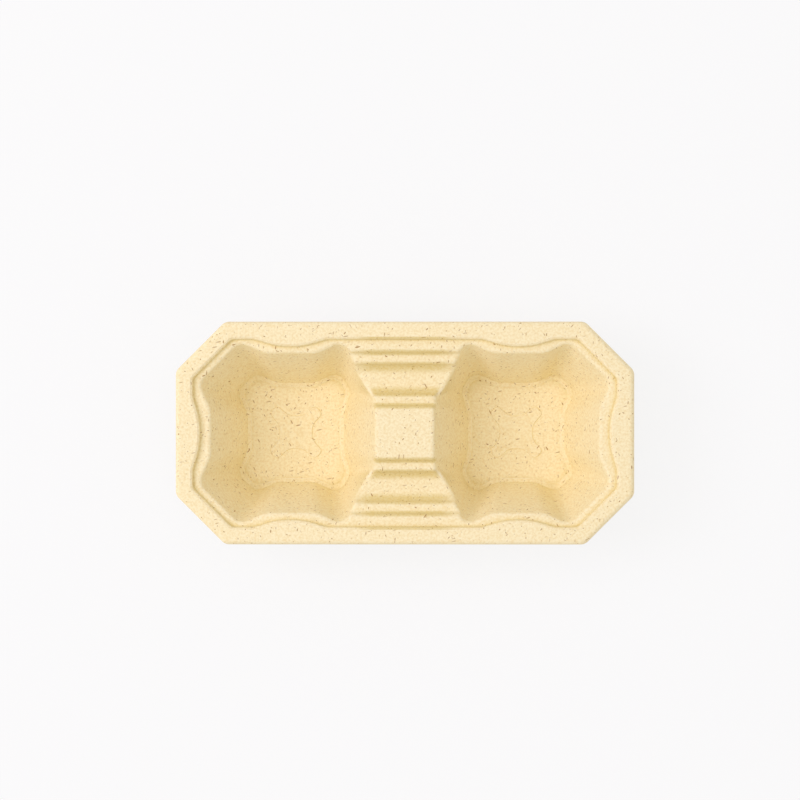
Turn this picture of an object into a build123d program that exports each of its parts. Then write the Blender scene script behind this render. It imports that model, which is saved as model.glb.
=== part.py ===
from build123d import *
from math import cos, radians, sin, tan
import os

os.makedirs("parts", exist_ok=True)

# Two-cup carrier tray, moulded in one piece from plant-fibre pulp. All sizes in millimetres.
# X runs along the tray, Y across it, Z up. The origin is on the table, under the middle.

# Overall size, and the thickness of the moulded sheet
length = 215.0
width = 104.5
height = 45.0
wall = 1.0

# Rim: an eight-sided frame, with a short skirt turned down all round
corner_cut = 0.221 * width
corner_round = 5.0
skirt_depth = 8.0
skirt_draft = 4.0
rim_round = 2.1
inner_rim_cut = 0.65
rim_width = 7.8

# Step from the rim down to the ledge round the pockets. Its line dips beside each pocket wall, and
# a dip gets tighter where the rim is too short for it.
step_depth = 3.0
step_draft = 15.0
step_edge_cut = 0.7
step_corner_round = 4.0
dip_depth = 3.4
dip_slope = 17.0
dip_half = 0.057 * width
dip_round = 34.0
dip_end_round = 8.0
least_straight = 0.2

# Cup pockets: the widths of the ledge round their mouths and of the bridge between them
end_ledge = 8.55
side_ledge = 6.85
bridge_top = 27.3
mouth_half_x = (length / 2 - rim_width - end_ledge - bridge_top / 2) / 2
mouth_half_y = width / 2 - rim_width - side_ledge
pocket_x = bridge_top / 2 + mouth_half_x
mouth_shift = 1.0

# Every pocket wall leans out. Its middle bulges towards the cup, and a flute runs down each corner.
# A bulge is a share of the pocket's half size, and a cut is a share of the two half sizes together.
# The cuts slope across the four corners, between the flanks of the bulges, and leave a least ledge.
lean_x = 22.1
lean_y = 19.8
mouth_bulge = 0.295
mouth_bulge_y = 0.327
mouth_outer_cut = 0.63
mouth_inner_cut = 0.555
foot_bulge = 0.38
foot_outer_cut = 0.724
foot_inner_cut = 0.704
bulge_round = 12.0
flute_round = 6.0
mouth_round = 2.0
flank_slope = 25.0
inner_flank_slope = 16.0
outer_cut_angle = 45.0
least_ledge = 1.4
inner_cut_angle = 150.0

# Pocket floor: a narrow shelf along the wall, a panel sunk below it, and a raised pad in the middle.
# The floor runs into the wall over a narrow slope. Below, it is flat, and its outer edge is cut off.
shelf_width = 1.9
panel_drop = 0.8
pad_rise = 0.6
pad_half = 8.0
pad_bulge = 3.3
pad_slope = 42.0
pad_cut = 15.6
pad_bulge_round = 6.5
pad_corner_round = 2.4
foot_cut = 1.0
foot_blend = 1.2

# Bridge between the pockets: two risers down to a valley on each side of the middle plateau.
# A riser's place is that of its upper edge, as a share of the tray's half width.
riser_angle = 70.0
riser_edge_round = 2.2
riser_root_round = 1.8
tread_drop = 3.8
valley_drop = 9.2
valley_round = 5.5
riser_1_y = 0.735 * width / 2
riser_2_y = 0.626 * width / 2
riser_3_y = 0.339 * width / 2
riser_4_y = 0.232 * width / 2

# Heights that follow from these, and how far a cutting form passes the face that it cuts
floor_z = wall + panel_drop
ledge_z = height - step_depth
skirt_z = height - skirt_depth
valley_z = ledge_z - valley_drop
foot_half_x = mouth_half_x - (ledge_z - floor_z) * tan(radians(lean_x))
foot_half_y = mouth_half_y - (ledge_z - floor_z) * tan(radians(lean_y))
reach = 1.0
past_middle = 30.0
bridge_reach = 0.3 * width
skirt_band = 5.0


def outline(sides, grow=0.0):
    """Closed wire of straight sides and rounded corners, all moved outwards by grow.

    A side is (facing angle, a point that it passes through, radius of the corner that ends it).
    """
    lines = []
    for angle, (x, y), radius in sides:
        nx = cos(radians(angle))
        ny = sin(radians(angle))
        lines.append((angle, nx, ny, nx * x + ny * y + grow, radius))
    corners = []
    for here, after in zip(lines, lines[1:] + lines[:1]):
        angle, nx, ny, far, radius = here
        next_angle, next_nx, next_ny, next_far, _ = after
        turn = (next_angle - angle + 180) % 360 - 180
        cross = nx * next_ny - next_nx * ny
        x = (far * next_ny - next_far * ny) / cross
        y = (next_far * nx - far * next_nx) / cross
        if radius:
            radius += grow if turn > 0 else -grow
        run = radius * tan(radians(abs(turn) / 2))
        start = Vector(x + ny * run, y - nx * run)
        stop = Vector(x - next_ny * run, y + next_nx * run)
        corners.append((radius, start, Vector(-ny, nx), stop))
    edges = []
    for here, after in zip(corners, corners[1:] + corners[:1]):
        radius, start, heading, stop = here
        if radius:
            edges.append(Edge.make_tangent_arc(start, heading, stop))
        edges.append(Edge.make_line(stop, after[1]))
    return Wire(edges)


def even_outline(sides, grow):
    """Outline that is even about X, from its sides above that axis; the end ones cross the axis."""
    radii = [radius for _, _, radius in sides[:-1]]
    below = [(-angle, (x, -y)) for angle, (x, y), _ in sides[-2:0:-1]]
    loop = [side[:2] for side in sides] + below
    return outline([side + (radius,) for side, radius in zip(loop, radii + radii[::-1])], grow)


def on_ray(distance, angle):
    """Point at that distance from the middle, straight ahead of a side with that facing."""
    return (distance * cos(radians(angle)), distance * sin(radians(angle)))


def between(low_wire, low_z, high_wire, high_z):
    """Solid between two outlines that have the same corners."""
    low = low_wire.moved(Location((0, 0, low_z)))
    high = high_wire.moved(Location((0, 0, high_z)))
    return Solid.make_loft([low, high], ruled=True)


def flat_sided(low_wire, low_z, high_wire, high_z):
    """Solid between two sharp-cornered outlines, whose sides face the same ways at both heights."""
    low = [edge.start_point() + Vector(0, 0, low_z) for edge in low_wire.edges()]
    high = [edge.start_point() + Vector(0, 0, high_z) for edge in high_wire.edges()]
    faces = [Face(Wire.make_polygon(low)), Face(Wire.make_polygon(high))]
    for i in range(len(low)):
        faces.append(Face(Wire.make_polygon([low[i - 1], low[i], high[i], high[i - 1]])))
    return Solid(Shell(faces))


def rim_outline(grow):
    """Outer edge of the rim, for the right half of the tray and a little past its middle."""
    cut_point = (length / 2 - corner_cut, width / 2)
    sides = [
        (0, (length / 2, 0), corner_round),
        (45, cut_point, corner_round),
        (90, (0, width / 2), corner_round),
        (180, (-past_middle, 0), corner_round),
    ]
    return even_outline(sides, grow)


def step_outline(grow):
    """Wavy line of the step, a rim's width inside the outer edge, with its dips."""
    x = length / 2 - rim_width
    y = width / 2 - rim_width
    cut = on_ray(1, 45)[0] * (length / 2 - corner_cut + width / 2) - rim_width
    dip_x = pocket_x + mouth_shift
    ramp = dip_depth / tan(radians(dip_slope))
    end_bend = tan(radians(dip_slope / 2))
    corner_x = cut / cos(radians(45)) - y - step_corner_round * tan(radians(45 / 2))
    room = corner_x - dip_x - ramp - dip_end_round * end_bend
    half = min(dip_half, room - least_straight)
    bend = min(dip_round, (half - least_straight) / end_bend)
    dip_run = half + ramp
    sides = [
        (0, (x - dip_depth, 0), bend),
        (-dip_slope, (x, dip_run), dip_end_round),
        (0, (x, 0), step_corner_round),
        (45, on_ray(cut, 45), step_corner_round),
        (90, (0, y), dip_end_round),
        (90 + dip_slope, (dip_x + dip_run, y), bend),
        (90, (dip_x, y - dip_depth), bend),
        (90 - dip_slope, (dip_x - dip_run, y), dip_end_round),
        (90, (0, y), step_corner_round),
        (180, (rim_width - past_middle, 0), step_corner_round),
    ]
    return even_outline(sides, grow)


def flute_limit(half, ledge, bulge):
    """How far out an outer cut may lie before the flute's sharp corner comes too near the step."""
    beyond = ledge - least_ledge
    return (half + beyond + bulge + beyond / tan(radians(flank_slope))) * cos(radians(outer_cut_angle))


def pocket_outline(z, grow, bulge=0.0, flute=0.0):
    """Pocket wall at height z, with the pocket's middle at the origin and the bridge on its left."""
    share = (z - floor_z) / (ledge_z - floor_z)

    def at(foot, mouth):
        return foot + (mouth - foot) * share

    half_x = at(foot_half_x, mouth_half_x)
    half_y = at(foot_half_y, mouth_half_y)
    shift = at(0, mouth_shift)
    bulge_x = at(foot_bulge * foot_half_x, mouth_bulge * mouth_half_x)
    bulge_y = at(foot_bulge * foot_half_y, mouth_bulge_y * mouth_half_y)
    foot_both = foot_half_x + foot_half_y
    mouth_both = mouth_half_x + mouth_half_y
    mouth_cut = min(
        mouth_outer_cut * mouth_both,
        flute_limit(mouth_half_x, end_ledge, mouth_bulge * mouth_half_x),
        flute_limit(mouth_half_y, side_ledge, mouth_shift + mouth_bulge_y * mouth_half_y),
    )
    outer_point = on_ray(at(foot_outer_cut * foot_both, mouth_cut), outer_cut_angle)
    inner_point = on_ray(at(foot_inner_cut * foot_both, mouth_inner_cut * mouth_both), inner_cut_angle)
    sides = [
        (0, (half_x, 0), bulge),
        (-flank_slope, (half_x, bulge_x), flute),
        (outer_cut_angle, outer_point, flute),
        (90 + flank_slope, (shift + bulge_y, half_y), bulge),
        (90, (shift, half_y), bulge),
        (90 - flank_slope, (shift - bulge_y, half_y), flute),
        (inner_cut_angle, inner_point, flute),
        (180 + inner_flank_slope, (-half_x, bulge_x), bulge),
        (180, (-half_x, 0), bulge),
    ]
    return even_outline(sides, grow)


def pad_outline(grow):
    """Four-cornered pad with hollow sides, in the middle of a pocket floor."""
    sides = [
        (0, (pad_half, 0), pad_bulge_round),
        (-pad_slope, (pad_half, pad_bulge), pad_corner_round),
        (45, on_ray(pad_cut, 45), pad_corner_round),
        (90 + pad_slope, (pad_bulge, pad_half), pad_bulge_round),
        (90, (0, pad_half), pad_bulge_round),
        (90 - pad_slope, (-pad_bulge, pad_half), pad_corner_round),
        (135, on_ray(pad_cut, 135), pad_corner_round),
        (180 + pad_slope, (-pad_half, pad_bulge), pad_bulge_round),
        (180, (-pad_half, 0), pad_bulge_round),
    ]
    return even_outline(sides, grow)


def channel(grow, edge, root):
    """Hollow over one valley and its treads, cut along X through the bridge on the +Y side."""
    tread_z = ledge_z - tread_drop
    middle_y = (riser_2_y + riser_3_y) / 2
    section = outline(
        [
            (-90, (middle_y, valley_z), valley_round),
            (riser_angle - 90, (riser_2_y, tread_z), edge),
            (-90, (riser_2_y, tread_z), root),
            (riser_angle - 90, (riser_1_y, ledge_z), edge),
            (-90, (riser_1_y, ledge_z), 0),
            (0, (riser_1_y + 2 * reach, ledge_z), 0),
            (90, (middle_y, ledge_z + reach), 0),
            (180, (riser_4_y - 2 * reach, ledge_z), 0),
            (-90, (riser_4_y, ledge_z), edge),
            (-90 - riser_angle, (riser_4_y, ledge_z), root),
            (-90, (riser_4_y, tread_z), edge),
            (-90 - riser_angle, (riser_3_y, tread_z), valley_round),
        ],
        grow,
    )
    upright = Plane((-reach, 0, 0), x_dir=(0, 1, 0), z_dir=(1, 0, 0)) * Face(section)
    return extrude(upright, bridge_reach + reach)


def upright_corners(pocket, at_bulges):
    """Edges that run down a pocket's wall: the inward corners at its bulges, or those of its flutes."""
    uprights = [edge for edge in pocket.edges() if edge.bounding_box().size.Z > ledge_z / 2]
    return [edge for edge in uprights if edge.is_interior == at_bulges]


def rim_and_step(inset):
    """The plain tray with its rim, its step down to the ledge and no pockets."""
    top_skin = inset == 0
    lean = tan(radians(skirt_draft))
    low = -reach - inset
    high = height - inset
    outer_low = rim_outline(lean * (skirt_z - low) - inset)
    outer_high = rim_outline(lean * (skirt_z - high) - inset)
    body = between(outer_low, low, outer_high, high)
    rim_edges = body.faces().sort_by(Axis.Z)[-1].edges()
    body = fillet(rim_edges, rim_round) if top_skin else chamfer(rim_edges, inner_rim_cut)

    sides = inset / cos(radians(step_draft))
    widen = tan(radians(step_draft))
    step_low = step_outline(sides - step_depth * widen)
    step_high = step_outline(sides + (inset + reach) * widen)
    body = body - between(step_low, ledge_z - inset, step_high, height + reach)
    if top_skin:
        rim_top = body.faces().sort_by(Axis.Z)[-1]
        body = chamfer(rim_top.inner_wires()[0].edges(), step_edge_cut)
    return split(body, bisect_by=Plane.YZ, keep=Keep.TOP)


def pocket_hollow(inset):
    """One pocket's hollow, wider by inset, with its axis at the origin and the bridge on its left."""
    top_skin = inset == 0
    sides = inset / cos(radians(lean_y))
    low = floor_z if top_skin else 0
    high = ledge_z + reach
    pocket = flat_sided(pocket_outline(low, sides), low, pocket_outline(high, sides), high)
    pocket = fillet(upright_corners(pocket, at_bulges=True), bulge_round - inset)
    pocket = fillet(upright_corners(pocket, at_bulges=False), flute_round + inset)
    floor_edges = pocket.faces().sort_by(Axis.Z)[0].edges()
    if not top_skin:
        return chamfer(floor_edges, foot_cut)
    pocket = chamfer(floor_edges, foot_blend)
    panel_low = pocket_outline(floor_z, -shelf_width, 0, flute_round)
    panel_high = pocket_outline(floor_z, panel_drop - shelf_width, 0, flute_round)
    panel = between(panel_low, wall, panel_high, floor_z)
    pad = between(pad_outline(0), wall, pad_outline(-pad_rise), wall + pad_rise)
    return pocket + (panel - pad)


def under_skin(inset):
    """Right half of all that lies under the tray's top skin, or under its lower skin when inset is
    the wall. It reaches below the table, and the tray is the difference of the two."""
    top_skin = inset == 0
    hollow = channel(inset, riser_edge_round, riser_root_round) if top_skin else channel(inset, 0, 0)
    uncut = rim_and_step(inset) - hollow - hollow.mirror(Plane.XZ)
    pocket = Pos(pocket_x, 0, 0) * pocket_hollow(inset)
    body = uncut - pocket
    if top_skin:
        body = fillet(new_edges(uncut, pocket, combined=body), mouth_round)
    return body


half = under_skin(0) - under_skin(wall)
blank = extrude(Face(rim_outline(skirt_band)), skirt_z + wall + reach)
core = extrude(Face(rim_outline(-skirt_band)), skirt_z + wall + reach)
half = half - Pos(0, 0, -wall - reach) * (blank - core)
tray = half + half.mirror(Plane.YZ)
export_step(tray.solid(), "parts/carrier_tray.step")
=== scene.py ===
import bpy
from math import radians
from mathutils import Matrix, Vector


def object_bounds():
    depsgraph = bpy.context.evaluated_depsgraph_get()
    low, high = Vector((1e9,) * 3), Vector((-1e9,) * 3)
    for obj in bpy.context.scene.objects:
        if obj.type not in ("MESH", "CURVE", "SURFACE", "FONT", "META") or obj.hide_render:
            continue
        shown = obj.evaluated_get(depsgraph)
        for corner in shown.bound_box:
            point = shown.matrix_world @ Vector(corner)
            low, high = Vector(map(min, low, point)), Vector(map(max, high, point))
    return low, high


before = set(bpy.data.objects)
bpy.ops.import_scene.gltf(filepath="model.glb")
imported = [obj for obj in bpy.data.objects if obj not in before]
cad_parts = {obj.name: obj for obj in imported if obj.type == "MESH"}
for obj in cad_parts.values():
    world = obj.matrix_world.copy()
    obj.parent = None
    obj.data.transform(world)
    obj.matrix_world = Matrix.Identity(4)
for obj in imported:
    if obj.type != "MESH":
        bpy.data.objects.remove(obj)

# %% [markdown]
# # A two-cup carrier tray of moulded pulp
# On the real object a wire-mesh mould sucks a thin felt of wet plant fibre out of a vat, and a hot
# second mould presses it dry. So it is one sheet with the same form on both faces, soft-edged and matt.
# The CAD model already holds that form, so the tray gets no new mesh here. This script dresses it: it gives
# the sheet the look of unbleached pulp, sets it on a pale table, lights it softly and looks at it from above.

MILLIMETRE = 0.001
cad_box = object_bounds()
underside, rim_height = cad_box[0][2], cad_box[1][2]
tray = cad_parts["carrier_tray"]
print("CAD box, in metres:", [tuple(round(value, 4) for value in corner) for corner in cad_box])

# %% [markdown]
# ## Colours and nodes
# A colour is easiest to pick as a hex value, as on a screen, but a shader works in linear light. One
# function turns the first into the second. A second one adds a shader node with its settings and its
# links in one call, so that each step of a material reads as one statement. An input is given by its name,
# with _ for a blank, or by its number after a _ where a node has several inputs of one name. A third one
# starts an empty material.

# %% Helpers for colours and nodes


def linear(hex_value):
    """Linear RGBA of an sRGB hex colour such as "E8D0A0"."""
    channels = []
    for start in (0, 2, 4):
        value = int(hex_value[start:start + 2], 16) / 255
        channels.append(value / 12.92 if value <= 0.04045 else ((value + 0.055) / 1.055) ** 2.4)
    return (*channels, 1.0)


def add_node(tree, kind, settings=None, **inputs):
    """A new node. Settings are its properties. Each input is a plain value or another node's output."""
    node = tree.nodes.new(kind)
    for name, value in (settings or {}).items():
        setattr(node, name, value)
    for name, value in inputs.items():
        socket = node.inputs[int(name[1:])] if name[1:].isdigit() else node.inputs[name.replace("_", " ")]
        if isinstance(value, bpy.types.NodeSocket):
            tree.links.new(value, socket)
        else:
            socket.default_value = value
    return node


def new_material(name):
    """An empty node material, and its node tree."""
    material = bpy.data.materials.new(name)
    material.use_nodes = True
    material.node_tree.nodes.clear()
    return material, material.node_tree


print("a mid grey, 808080, in linear light:", round(linear("808080")[0], 3))

# %% [markdown]
# ## Unbleached plant-fibre pulp
# Pressed pulp from bagasse or bamboo is a dry felt. It has no gloss at all, and what tells it from plastic
# is its colour: a warm beige with a faint cloudy mottle, because the fibres lie thicker in one spot than in
# the next. A noise texture of about a millimetre, which is as fine as the picture can show, mixes two
# shades of the same beige. It reads Object coordinates, so that it stays on the tray in every view.

# %% Pulp: mottled beige
PULP = linear("FAEFC5")
PULP_CLOUD = linear("F1DFAB")
CLOUD_SIZE = 1.1 * MILLIMETRE
CLOUD_START, CLOUD_FULL = 0.35, 0.7

pulp, tree = new_material("moulded_bagasse_pulp")
coordinates = add_node(tree, "ShaderNodeTexCoord")
place = coordinates.outputs["Object"]
cloud = add_node(tree, "ShaderNodeTexNoise", Vector=place, Scale=1 / CLOUD_SIZE, Detail=3.0, Roughness=0.6)
cloud_share = add_node(
    tree, "ShaderNodeMapRange", {"interpolation_type": "SMOOTHSTEP"},
    Value=cloud.outputs["Fac"], From_Min=CLOUD_START, From_Max=CLOUD_FULL,
)
base = add_node(
    tree, "ShaderNodeMix", {"data_type": "RGBA"},
    Factor=cloud_share.outputs["Result"], _6=PULP, _7=PULP_CLOUD,
).outputs[2]
print("mottle of", round(CLOUD_SIZE / MILLIMETRE, 2), "mm")

# %% [markdown]
# ## Painted highlight on raised edges and painted shade in hollows
# Raised edges are painted paler, as a painted highlight for the light they catch, and hollows are painted
# a deeper yellow, as painted shade. A mesh of loose triangles has no marked edges to paint, so the surface
# itself is asked where it bends. The Ambient Occlusion node feels a short way around each point. Turned to
# the inside, it finds raised edges, and its reach has to stay below the sheet's 1 mm, or it would meet the
# far side. Turned to the outside, it finds hollows. Both feel for the tray alone, so the table changes no
# colour.

# %% Pulp: painted highlight on edges and painted shade in hollows
# The paler colour is a painted highlight on raised edges; the deep yellow one is painted shade in hollows and
# on the bridge's risers.
PULP_PAINTED_HIGHLIGHT = linear("FDF5DC")
PULP_PAINTED_SHADE = linear("CEB448")
HIGHLIGHT_REACH = 0.8 * MILLIMETRE
HIGHLIGHT_START, HIGHLIGHT_FULL = 0.95, 0.65
SHADE_REACH = 9 * MILLIMETRE
SHADE_START, SHADE_FULL = 0.8, 0.3
FEELERS = 8

# Painted highlight: raised edges turn paler.
inner_side = add_node(
    tree, "ShaderNodeAmbientOcclusion", {"samples": FEELERS, "only_local": True, "inside": True},
    Distance=HIGHLIGHT_REACH,
)
highlight_share = add_node(
    tree, "ShaderNodeMapRange", {"interpolation_type": "SMOOTHSTEP"},
    Value=inner_side.outputs["AO"], From_Min=HIGHLIGHT_START, From_Max=HIGHLIGHT_FULL,
)
base = add_node(
    tree, "ShaderNodeMix", {"data_type": "RGBA"},
    Factor=highlight_share.outputs["Result"], _6=base, _7=PULP_PAINTED_HIGHLIGHT,
).outputs[2]
# Painted shade: hollows and creases turn a deeper yellow.
outer_side = add_node(
    tree, "ShaderNodeAmbientOcclusion", {"samples": FEELERS, "only_local": True},
    Distance=SHADE_REACH,
)
hollow_shade_share = add_node(
    tree, "ShaderNodeMapRange",
    Value=outer_side.outputs["AO"], From_Min=SHADE_START, From_Max=SHADE_FULL,
)
base = add_node(
    tree, "ShaderNodeMix", {"data_type": "RGBA"},
    Factor=hollow_shade_share.outputs["Result"], _6=base, _7=PULP_PAINTED_SHADE,
).outputs[2]
print("edges within", HIGHLIGHT_REACH / MILLIMETRE, "mm and hollows within", SHADE_REACH / MILLIMETRE, "mm")

# %% [markdown]
# ## Painted shade on the risers of the bridge
# The risers of the stepped bridge, and the step below the rim beside it, are steep and get less light than
# the flat treads. Their shade is painted on, as deeper yellow bands between the pale treads. Painting them
# by hand would need a map of the surface, so they are found by their place and their slope. Three shares are
# multiplied: how near the point is to the middle along the tray, whether it lies inside the outer edge across
# the tray, and how far the surface turns to the front or back. A ramp over that turn leaves out what lies
# flat and what stands upright, and lets each band fade in over the riser's rounded edges.

# %% Pulp: painted shade on the risers
BRIDGE_LENGTH = (15 * MILLIMETRE, 26 * MILLIMETRE)
BRIDGE_WIDTH = (48.5 * MILLIMETRE, 50 * MILLIMETRE)
RISER_TURNS = ((0.2, 0.0), (0.6, 1.0), (0.95, 1.0), (0.985, 0.0))
# How strong the painted shade on the risers is.
RISER_SHADE_STRENGTH = 0.42

turned = add_node(tree, "ShaderNodeSeparateXYZ", Vector=coordinates.outputs["Normal"])
turn_share = add_node(tree, "ShaderNodeMath", {"operation": "ABSOLUTE"}, _0=turned.outputs["Y"])
ramp = add_node(tree, "ShaderNodeValToRGB", Fac=turn_share.outputs[0])
stops = ramp.color_ramp.elements
while len(stops) < len(RISER_TURNS):
    stops.new(0.5)
for stop, (at, tone) in zip(stops, RISER_TURNS):
    stop.position = at
    stop.color = (tone, tone, tone, 1.0)
riser_shade_share = add_node(
    tree, "ShaderNodeMath", {"operation": "MULTIPLY"}, _0=ramp.outputs["Color"], _1=RISER_SHADE_STRENGTH,
).outputs[0]

position = add_node(tree, "ShaderNodeSeparateXYZ", Vector=place)
for axis, (near, far) in (("X", BRIDGE_LENGTH), ("Y", BRIDGE_WIDTH)):
    away = add_node(tree, "ShaderNodeMath", {"operation": "ABSOLUTE"}, _0=position.outputs[axis])
    within = add_node(
        tree, "ShaderNodeMapRange", {"interpolation_type": "SMOOTHSTEP"},
        Value=away.outputs[0], From_Min=far, From_Max=near,
    )
    riser_shade_share = add_node(
        tree, "ShaderNodeMath", {"operation": "MULTIPLY"}, _0=riser_shade_share, _1=within.outputs["Result"],
    ).outputs[0]
# Painted shade on the risers, in the same deep yellow as the hollows.
base = add_node(
    tree, "ShaderNodeMix", {"data_type": "RGBA"}, Factor=riser_shade_share, _6=base, _7=PULP_PAINTED_SHADE,
).outputs[2]
print("riser tone over", 2 * BRIDGE_LENGTH[0] / MILLIMETRE, "mm of the bridge")

# %% [markdown]
# ## Brown strands
# Here and there a strand of bark stayed brown and shows as a short dark stroke. The strokes could be drawn
# one by one, but a pattern gives hundreds for nothing: a Voronoi texture is stretched along one axis, and in
# some of its cells a small spot round the cell's point is coloured, which the stretch draws out into a
# strand. Six such layers, each turned another way, make them lie at random. Each cell's own random colour
# decides whether it has a strand, how long it is and how dark. The pocket floors have more of them than the
# rim has, so the share of the cells that have one falls with the height.

# %% Pulp: brown strands
STRAND = linear("9E7032")
STRAND_CELL = (9 * MILLIMETRE, 2 * MILLIMETRE, 2 * MILLIMETRE)
LAYER_TURNS = ((12, 0), (49, 20), (84, -15), (118, 10), (156, -25), (35, 70))
LAYER_SHIFT = Vector((31, 17, 23)) * MILLIMETRE
SHARE_ON_FLOOR, SHARE_ON_RIM = 0.72, 0.54
MORE_REACH = 0.11
LEAST_REACH = MORE_REACH * 2 / 3
SPOT_CORE = 0.6
LEAST_BROWN, MORE_BROWN = 0.25, 0.6

share_here = add_node(
    tree, "ShaderNodeMapRange", Value=position.outputs["Z"],
    From_Min=underside, From_Max=rim_height, To_Min=SHARE_ON_FLOOR, To_Max=SHARE_ON_RIM,
).outputs["Result"]
for number, (turn, tilt) in enumerate(LAYER_TURNS):
    stretched = add_node(
        tree, "ShaderNodeMapping", {"vector_type": "TEXTURE"},
        Vector=place, Location=LAYER_SHIFT * number,
        Rotation=(radians(tilt / 2), radians(tilt), radians(turn)), Scale=STRAND_CELL,
    ).outputs["Vector"]
    cells = add_node(tree, "ShaderNodeTexVoronoi", Vector=stretched, Scale=1.0, Randomness=1.0)
    lot = add_node(tree, "ShaderNodeSeparateColor", Color=cells.outputs["Color"])
    chosen = add_node(
        tree, "ShaderNodeMath", {"operation": "LESS_THAN"}, _0=lot.outputs["Red"], _1=share_here,
    ).outputs[0]
    reach = add_node(
        tree, "ShaderNodeMath", {"operation": "MULTIPLY_ADD"},
        _0=lot.outputs["Green"], _1=MORE_REACH, _2=LEAST_REACH,
    ).outputs[0]
    inside = add_node(
        tree, "ShaderNodeMath", {"operation": "DIVIDE"}, _0=cells.outputs["Distance"], _1=reach,
    ).outputs[0]
    spot = add_node(
        tree, "ShaderNodeMapRange", {"interpolation_type": "SMOOTHSTEP"},
        Value=inside, From_Min=1.0, From_Max=SPOT_CORE,
    ).outputs["Result"]
    brown = add_node(
        tree, "ShaderNodeMath", {"operation": "MULTIPLY_ADD"},
        _0=lot.outputs["Blue"], _1=MORE_BROWN, _2=LEAST_BROWN,
    ).outputs[0]
    for share in (chosen, brown):
        spot = add_node(tree, "ShaderNodeMath", {"operation": "MULTIPLY"}, _0=spot, _1=share).outputs[0]
    base = add_node(
        tree, "ShaderNodeMix", {"data_type": "RGBA"}, Factor=spot, _6=base, _7=STRAND,
    ).outputs[2]
print(len(LAYER_TURNS), "layers of strands, in cells", STRAND_CELL[0] / MILLIMETRE, "mm long")

# %% [markdown]
# ## Felted surface
# Under the hand the pulp is finely rough, because the fibres lie every way. That grain is far too fine to
# model, so it is bump from a second noise texture, drawn a little coarser than it is. The roughness is that
# of blotting paper and the shine is turned down, as the felt scatters almost all light.

# %% Pulp: felted surface, and the tray dressed in it
GRAIN_SIZE = 0.6 * MILLIMETRE
GRAIN_DEPTH = 0.2 * MILLIMETRE
GRAIN_STRENGTH = 0.6
FELT_ROUGHNESS = 0.92
FELT_SHINE = 0.15

grain = add_node(tree, "ShaderNodeTexNoise", Vector=place, Scale=1 / GRAIN_SIZE, Detail=2.0, Roughness=0.55)
bump = add_node(
    tree, "ShaderNodeBump", Strength=GRAIN_STRENGTH, Distance=GRAIN_DEPTH, Height=grain.outputs["Fac"],
)
felt = add_node(
    tree, "ShaderNodeBsdfPrincipled",
    Base_Color=base, Roughness=FELT_ROUGHNESS, Normal=bump.outputs["Normal"],
)
felt.inputs["Specular IOR Level"].default_value = FELT_SHINE
add_node(tree, "ShaderNodeOutputMaterial", Surface=felt.outputs["BSDF"])
tray.data.materials.clear()
tray.data.materials.append(pulp)
print("pulp on", tray.name, "with", len(tree.nodes), "nodes")

# %% [markdown]
# ## The table
# The tray stands on a white sweep. A wide plane does the same work: it takes the soft shadow on the tray's
# right, and it throws a little light back under the rim. It is staging and not part of the object, and it
# lies a hair below the pocket floors so that the two never share a face. In the photograph the sweep is
# blown out to nearly white. More light would blow out the tray too, so instead most of what the camera sees
# of the sweep is its own plain white, by the Light Path node, and the rest is lit paper with the shadow.

# %% White sweep
PAPER = linear("FAFAFA")
BLOWN_OUT_SHARE = 0.86
SWEEP_WIDTH = 12
SWEEP_GAP = 0.1 * MILLIMETRE

bpy.ops.object.select_all(action="DESELECT")
bpy.ops.mesh.primitive_plane_add(size=SWEEP_WIDTH, location=(0, 0, underside - SWEEP_GAP))
floor = bpy.context.object
floor.name = "floor"
paper, tree = new_material("white_paper_sweep")
sheet = add_node(tree, "ShaderNodeBsdfPrincipled", Base_Color=PAPER, Roughness=0.9)
sheet.inputs["Specular IOR Level"].default_value = 0.1
glow = add_node(tree, "ShaderNodeEmission", Color=PAPER, Strength=1.0)
ray = add_node(tree, "ShaderNodeLightPath")
seen = ray.outputs["Is Camera Ray"]
for kind in ("Is Glossy Ray", "Is Transmission Ray"):
    seen = add_node(
        tree, "ShaderNodeMath", {"operation": "MAXIMUM"}, _0=seen, _1=ray.outputs[kind],
    ).outputs[0]
glow_share = add_node(tree, "ShaderNodeMath", {"operation": "MULTIPLY"}, _0=seen, _1=BLOWN_OUT_SHARE)
sweep = add_node(
    tree, "ShaderNodeMixShader",
    _0=glow_share.outputs[0], _1=sheet.outputs["BSDF"], _2=glow.outputs["Emission"],
)
add_node(tree, "ShaderNodeOutputMaterial", Surface=sweep.outputs["Shader"])
floor.data.materials.append(paper)
print("floor", tuple(round(side, 2) for side in floor.dimensions))

# %% [markdown]
# ## Light
# The shadows say where the light is: the left walls of the pockets are in shade, the right ones are bright,
# and the tray's own shadow is faint and lies to the right. They also say that it is soft, as the shaded
# walls are hardly darker than the rim. So an even white room does most of the work, a large soft window
# stands on the left, and a larger, weaker ceiling light lifts the pocket floors. Beige walls throw warm
# light at each other, which turns a pocket orange. So the pulp's own colour is a trace greener than it
# looks on the rim, and the lights are a trace pinker than white to even that out.

# %% Soft light and white room
AIM = Vector((0, 0, 30)) * MILLIMETRE
WINDOW_TINT = (1.04, 0.96, 1.12)
CEILING_TINT = (1.04, 0.965, 1.04)
ROOM_TINT = (1.04, 0.99, 0.99, 1.0)
ROOM_LEVEL = 0.695


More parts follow.
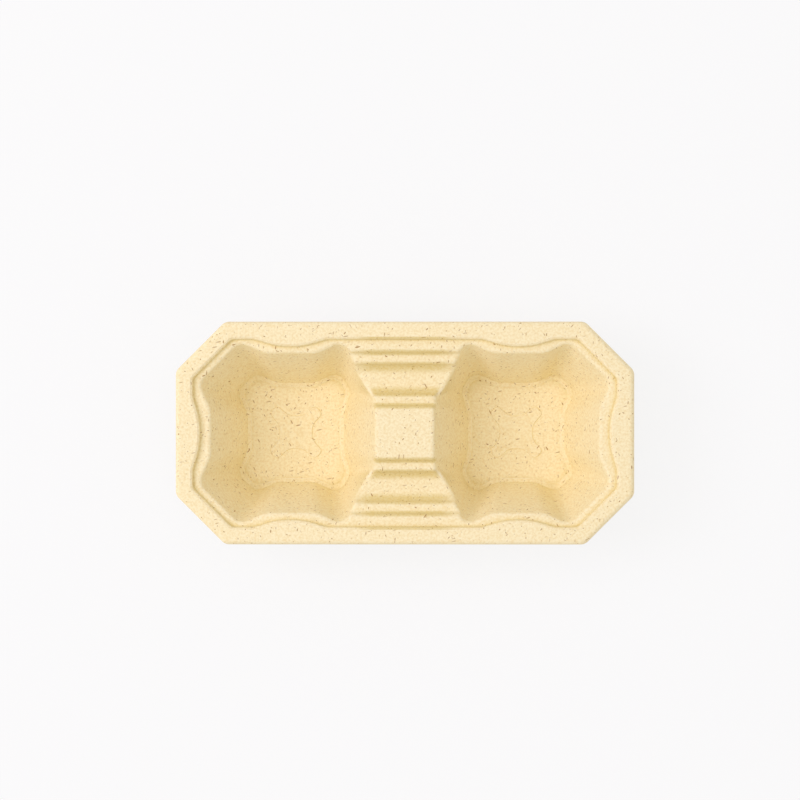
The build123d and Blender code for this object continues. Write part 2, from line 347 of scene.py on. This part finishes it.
def soft_light(name, towards, distance, size, energy, colour):
    """A square area light that stands in this direction from the tray and faces it."""
    stand = AIM + Vector(towards).normalized() * distance
    bpy.ops.object.light_add(type="AREA", location=stand)
    light = bpy.context.object
    light.name = name
    light.data.shape = "SQUARE"
    light.data.size = size
    light.data.energy = energy
    light.data.color = colour
    light.rotation_euler = (AIM - stand).to_track_quat("-Z", "Y").to_euler()
    print(name, "at", tuple(round(value, 2) for value in stand), "with", energy, "W")


soft_light("window", towards=(-0.66, 0.1, 0.74), distance=1.9, size=1.0, energy=10.9, colour=WINDOW_TINT)
soft_light("ceiling", towards=(-0.1, 0.05, 1.0), distance=2.6, size=2.0, energy=8.8, colour=CEILING_TINT)

room = bpy.data.worlds.new("white_room")
room.use_nodes = True
walls = room.node_tree.nodes["Background"]
walls.inputs["Color"].default_value = ROOM_TINT
walls.inputs["Strength"].default_value = ROOM_LEVEL
bpy.context.scene.world = room
bpy.context.scene.view_settings.view_transform = "Standard"
print("room at", round(walls.inputs["Strength"].default_value, 3))

# %% [markdown]
# ## Camera
# The photograph looks down on the tray through a long lens, so both pockets are seen nearly straight in.
# The left pocket's outer wall looks a little wider than the right one's, which puts the camera a few
# centimetres right of the middle. A camera that looks straight down has no upright direction of its own, so
# it is given one: the picture's top is +Y. The lens follows from the size of a pixel on the tray.

# %% Camera over the tray
PICTURE = 800
PIXEL = 0.4674 * MILLIMETRE  # on the tray, at the height of the rim
MIDDLE_PIXEL = Vector((404.6, 433.2))
SENSOR = 36
PICTURE_TOP = Vector((0, 1, 0))

eye = Vector((37.5, 24.4, 2400)) * MILLIMETRE
target = Vector((
    (PICTURE / 2 - MIDDLE_PIXEL.x) * PIXEL, (MIDDLE_PIXEL.y - PICTURE / 2) * PIXEL, rim_height,
))
backwards = (eye - target).normalized()
right = PICTURE_TOP.cross(backwards).normalized()
upwards = backwards.cross(right)
camera_data = bpy.data.cameras.new("camera")
camera = bpy.data.objects.new("camera", camera_data)
bpy.context.collection.objects.link(camera)
camera.matrix_world = Matrix.Translation(eye) @ Matrix((right, upwards, backwards)).transposed().to_4x4()
camera_data.sensor_width = SENSOR
camera_data.lens = SENSOR * (eye - target).length / (PICTURE * PIXEL)
bpy.context.scene.camera = camera
print("lens", round(camera_data.lens, 1), "mm at", round((eye - target).length, 3), "m")
